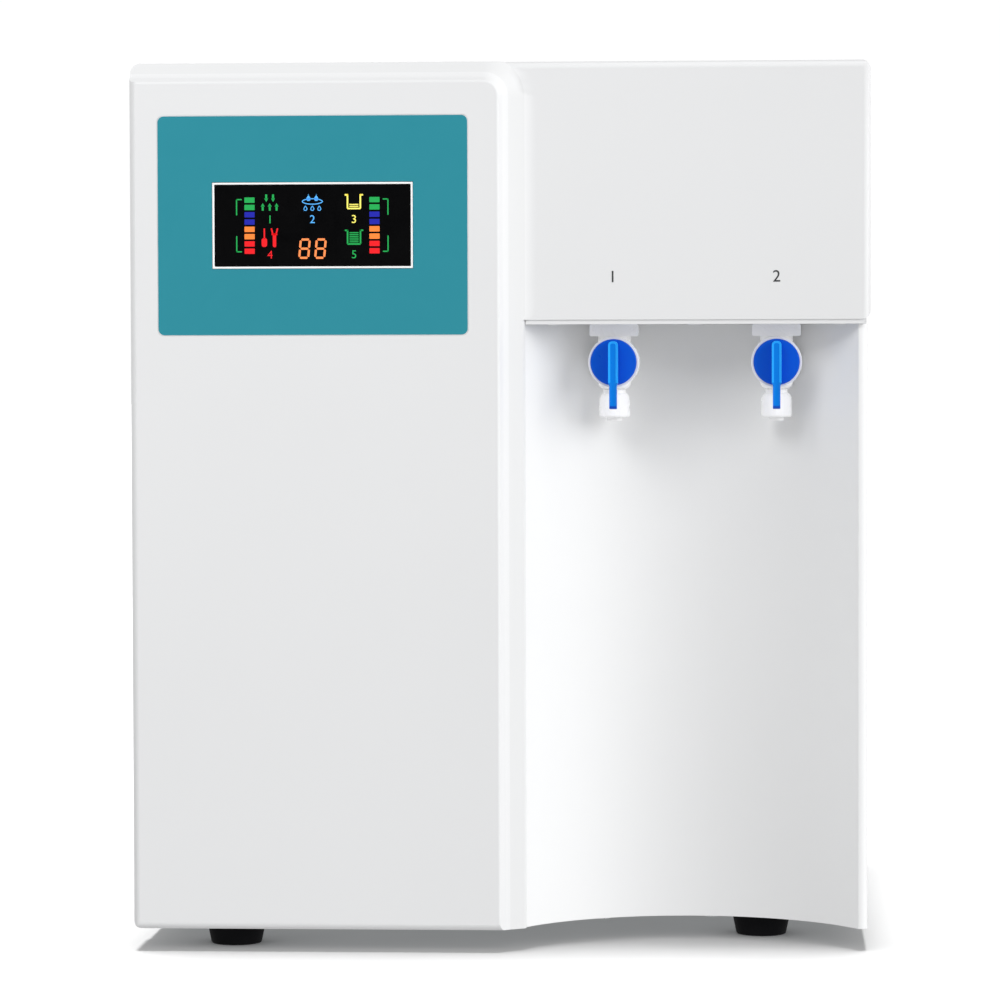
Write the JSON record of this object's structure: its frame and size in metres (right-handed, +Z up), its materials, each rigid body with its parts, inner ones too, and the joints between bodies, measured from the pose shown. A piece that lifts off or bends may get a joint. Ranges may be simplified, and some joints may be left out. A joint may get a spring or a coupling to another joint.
{
  "type": "laboratory water purifier",
  "caption": "Bench-top water purifier: white cabinet with a teal display panel, an overhanging head and quarter-turn dispensing taps over a concave recess.",
  "frame": {"origin": "centre of the overall box, at the bench under the feet", "axes": "+Z up, +X to the right seen from the front, the front faces -Y"},
  "size_m": [0.4, 0.4438, 0.482],
  "materials": {
    "white_moulding": "glossy white moulding",
    "painted_sheet": "white powder coat",
    "zinc_sheet": "zinc-plated sheet",
    "black_rubber": "moulded black rubber",
    "screw_steel": "plated steel",
    "teal_film": "printed film",
    "dark_lens": "smoked acrylic",
    "circuit_board": "green laminate",
    "natural_plastic": "natural nylon",
    "tap_white": "white moulding",
    "tap_blue": "blue moulding",
    "black_plastic": "black moulding",
    "blade_brass": "bright brass",
    "collet_plastic": "blue moulding",
    "filter_white": "white moulding",
    "resin_clear": "translucent housing",
    "clip_grey": "grey moulding",
    "motor_steel": "plated steel",
    "supply_aluminium": "folded aluminium",
    "valve_blue": "blue moulding",
    "tube_white": "polyethylene tube"
  },
  "bodies": {
    "cabinet": {"front_fascia": "white_moulding", "recess_panel": "white_moulding", "tap_shelf": "white_moulding", "wrap_cover": "painted_sheet", "rear_panel": "painted_sheet", "base_plate": "zinc_sheet", "rubber_feet": "black_rubber", "foot_screws": "screw_steel", "case_screws": "screw_steel", "control_overlay": "teal_film", "display_bezel": "white_moulding", "display_window": "dark_lens", "display_board": "circuit_board", "board_spacers": "natural_plastic", "left_tap_body": "tap_white", "left_tap_nozzle": "tap_white", "right_tap_body": "tap_white", "right_tap_nozzle": "tap_white", "tap_bonnets": "tap_white", "tap_nuts": "tap_white", "tap_seals": "black_rubber", "power_inlet": "black_plastic", "inlet_blades": "blade_brass", "feed_port": "black_plastic", "drain_port": "black_plastic", "tank_port": "black_plastic", "port_nuts": "black_plastic", "port_seals": "black_rubber", "equipment_panel": "zinc_sheet", "equipment_screws": "screw_steel", "sediment_filter": "filter_white", "carbon_filter": "filter_white", "polishing_filter": "filter_white", "membrane_housing": "filter_white", "membrane_cap": "filter_white", "membrane_element": "filter_white", "left_resin_column": "resin_clear", "right_resin_column": "resin_clear", "cartridge_clips": "clip_grey", "pump_motor": "motor_steel", "pump_head": "black_plastic", "pump_cradle": "zinc_sheet", "pump_mounts": "black_rubber", "power_supply": "supply_aluminium", "control_board": "circuit_board", "inlet_valve": "valve_blue", "flush_valve": "valve_blue", "feed_tubes": "tube_white", "permeate_tubes": "tube_white", "drain_tubes": "tube_white"},
    "left_tap": {"left_tap_handle": "tap_blue", "left_tap_plug": "natural_plastic"},
    "right_tap": {"right_tap_handle": "tap_blue", "right_tap_plug": "natural_plastic"},
    "switch_rocker": {"power_rocker": "black_plastic"},
    "fuse_tray": {"fuse_drawer": "black_plastic"},
    "pump_shaft": {"pump_rotor": "motor_steel"},
    "feed_release": {"feed_collet": "collet_plastic"},
    "drain_release": {"drain_collet": "collet_plastic"},
    "tank_release": {"tank_collet": "collet_plastic"}
  },
  "joints": [
    {"name": "left_tap_turn", "type": "hinge", "parent": "cabinet", "child": "left_tap", "pos_m": [0.061, -0.1819, 0.3195], "axis": [0, -1, 0], "range_deg": [0, 90]},
    {"name": "right_tap_turn", "type": "hinge", "parent": "cabinet", "child": "right_tap", "pos_m": [0.1494, -0.1819, 0.3195], "axis": [0, -1, 0], "range_deg": [0, 90]},
    {"name": "switch_rock", "type": "hinge", "parent": "cabinet", "child": "switch_rocker", "pos_m": [-0.13, 0.1991, 0.0968], "axis": [-1, 0, 0], "range_deg": [0, 20]},
    {"name": "fuse_pull", "type": "slide", "parent": "cabinet", "child": "fuse_tray", "axis": [0, 1, 0], "range_m": [0, 0.016]},
    {"name": "pump_spin", "type": "hinge", "parent": "cabinet", "child": "pump_shaft", "pos_m": [-0.12, -0.1219, 0.0565], "axis": [1, 0, 0], "continuous": true},
    {"name": "feed_collet_push", "type": "slide", "parent": "cabinet", "child": "feed_release", "axis": [0, -1, 0], "range_m": [0, 0.0015]},
    {"name": "drain_collet_push", "type": "slide", "parent": "cabinet", "child": "drain_release", "axis": [0, -1, 0], "range_m": [0, 0.0015]},
    {"name": "tank_collet_push", "type": "slide", "parent": "cabinet", "child": "tank_release", "axis": [0, -1, 0], "range_m": [0, 0.0015]}
  ]
}
